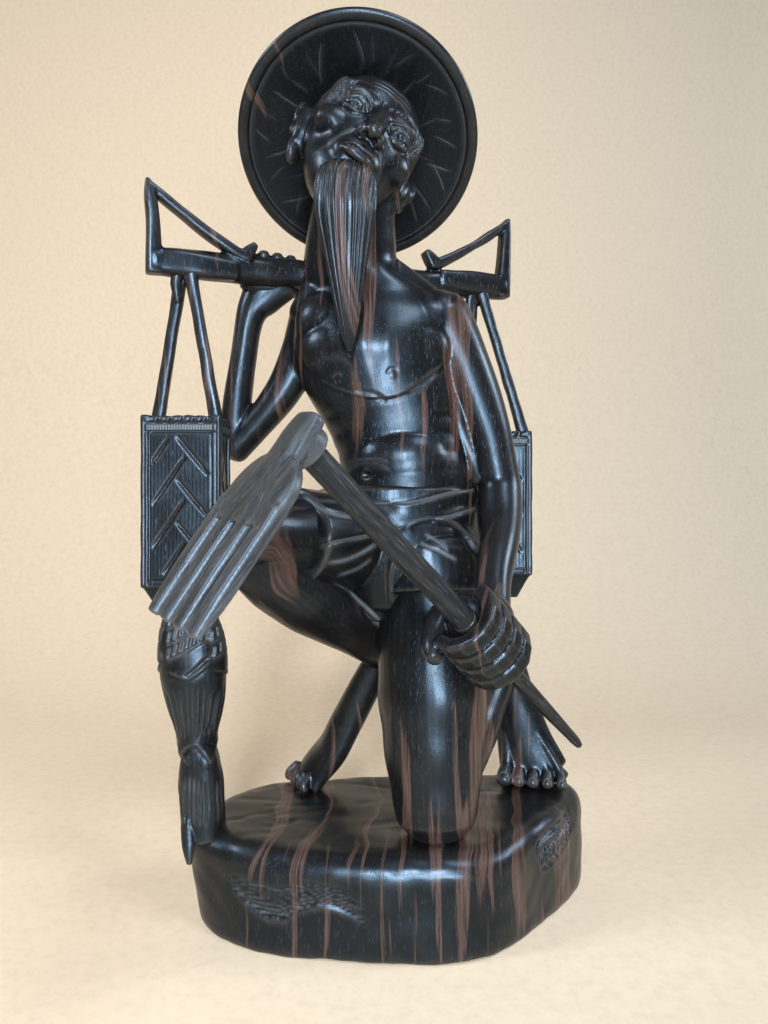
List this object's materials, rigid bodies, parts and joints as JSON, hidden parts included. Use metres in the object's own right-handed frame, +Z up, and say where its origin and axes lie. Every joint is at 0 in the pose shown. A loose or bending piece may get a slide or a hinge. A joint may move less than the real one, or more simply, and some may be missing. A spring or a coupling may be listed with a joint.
{
  "type": "carved wooden statue",
  "caption": "Carved ebony statue of an old farmer kneeling on a block, with a cone hat, hanging baskets on a carrying pole and a loose rake in the left fist.",
  "frame": {"origin": "middle of the block's flat underside", "axes": "+Z up from the underside to the hat; the farmer faces -Y and his left side is +X"},
  "size_m": [0.1634, 0.1715, 0.3165],
  "materials": {
    "ebony": "satin polish, near black with red-brown streaks along the height",
    "ebony_body": "satin polish, near black with red-brown streaks along the height",
    "rake_wood": "waxed, dull, with fine pores along the handle"
  },
  "bodies": {
    "statue": {"base": "ebony", "left_leg": "ebony_body", "right_leg": "ebony_body", "shorts": "ebony_body", "torso": "ebony_body", "head": "ebony_body", "beard": "ebony_body", "hat": "ebony", "left_arm": "ebony_body", "right_arm": "ebony_body", "pole": "ebony", "left_hanger": "ebony", "right_hanger": "ebony", "left_basket": "ebony", "right_basket": "ebony", "basket_prop": "ebony"},
    "rake_handle": {"rake_handle": "rake_wood"},
    "rake_head": {"rake_head": "rake_wood"}
  },
  "joints": [
    {"name": "rake_slide", "type": "slide", "parent": "statue", "child": "rake_handle", "axis": [-0.5696, -0.5246, 0.6327], "range_m": [0, 0.05]},
    {"name": "rake_turn", "type": "hinge", "parent": "rake_handle", "child": "rake_head", "pos_m": [-0.02519, -0.10252, 0.16532], "axis": [-0.5696, -0.5246, 0.6327], "continuous": true}
  ]
}
